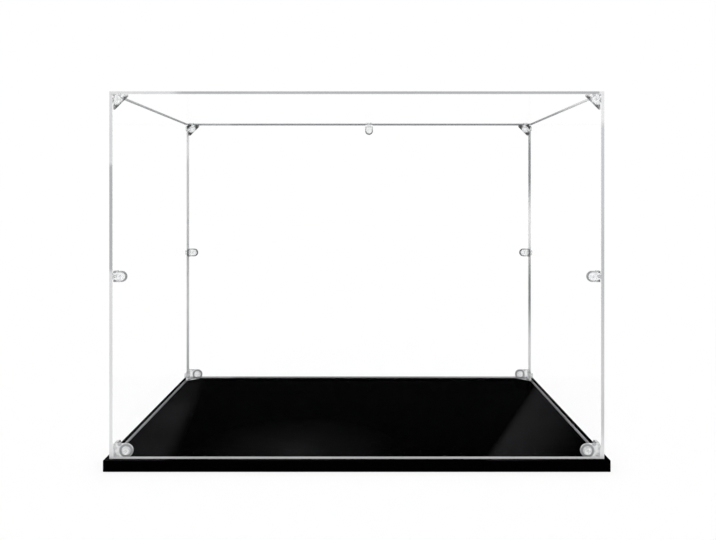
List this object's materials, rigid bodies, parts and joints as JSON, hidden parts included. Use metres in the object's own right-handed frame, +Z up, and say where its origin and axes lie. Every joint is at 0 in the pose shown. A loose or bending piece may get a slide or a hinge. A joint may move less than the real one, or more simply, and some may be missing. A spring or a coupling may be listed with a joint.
{
  "type": "display case",
  "caption": "Clear acrylic display case: a box cover held by clear corner brackets and edge clips, standing in a groove of a flat black base and lifting straight off.",
  "frame": {"origin": "middle of the base's underside", "axes": "+X to the right along the longer side, +Y to the rear, +Z up"},
  "size_m": [0.408, 0.308, 0.3065],
  "materials": {
    "black_base": "polished black acrylic, laminated plates",
    "clear_sheet": "clear polished acrylic sheet with satin cut edges",
    "clear_moulding": "clear moulded plastic",
    "clear_screw": "clear moulded plastic"
  },
  "bodies": {
    "base": {"base_bottom_plate": "black_base", "base_floor_plate": "black_base", "base_rim_front": "black_base", "base_rim_rear": "black_base", "base_rim_left": "black_base", "base_rim_right": "black_base"},
    "cover": {"top_panel": "clear_sheet", "front_panel": "clear_sheet", "rear_panel": "clear_sheet", "left_panel": "clear_sheet", "right_panel": "clear_sheet", "top_bracket_front_left": "clear_moulding", "top_bracket_front_right": "clear_moulding", "top_bracket_rear_left": "clear_moulding", "top_bracket_rear_right": "clear_moulding", "edge_clip_front_left": "clear_moulding", "edge_clip_front_right": "clear_moulding", "edge_clip_rear_left": "clear_moulding", "edge_clip_rear_right": "clear_moulding", "edge_clip_rear_top": "clear_moulding", "bottom_bracket_front_left": "clear_moulding", "bottom_bracket_front_right": "clear_moulding", "bottom_bracket_rear_left": "clear_moulding", "bottom_bracket_rear_right": "clear_moulding", "top_panel_screws": "clear_screw", "front_panel_screws": "clear_screw", "rear_panel_screws": "clear_screw", "left_panel_screws": "clear_screw", "right_panel_screws": "clear_screw"}
  },
  "joints": [
    {"name": "cover_lift", "type": "slide", "parent": "base", "child": "cover", "axis": [0, 0, 1], "range_m": [0, 0.32]}
  ]
}
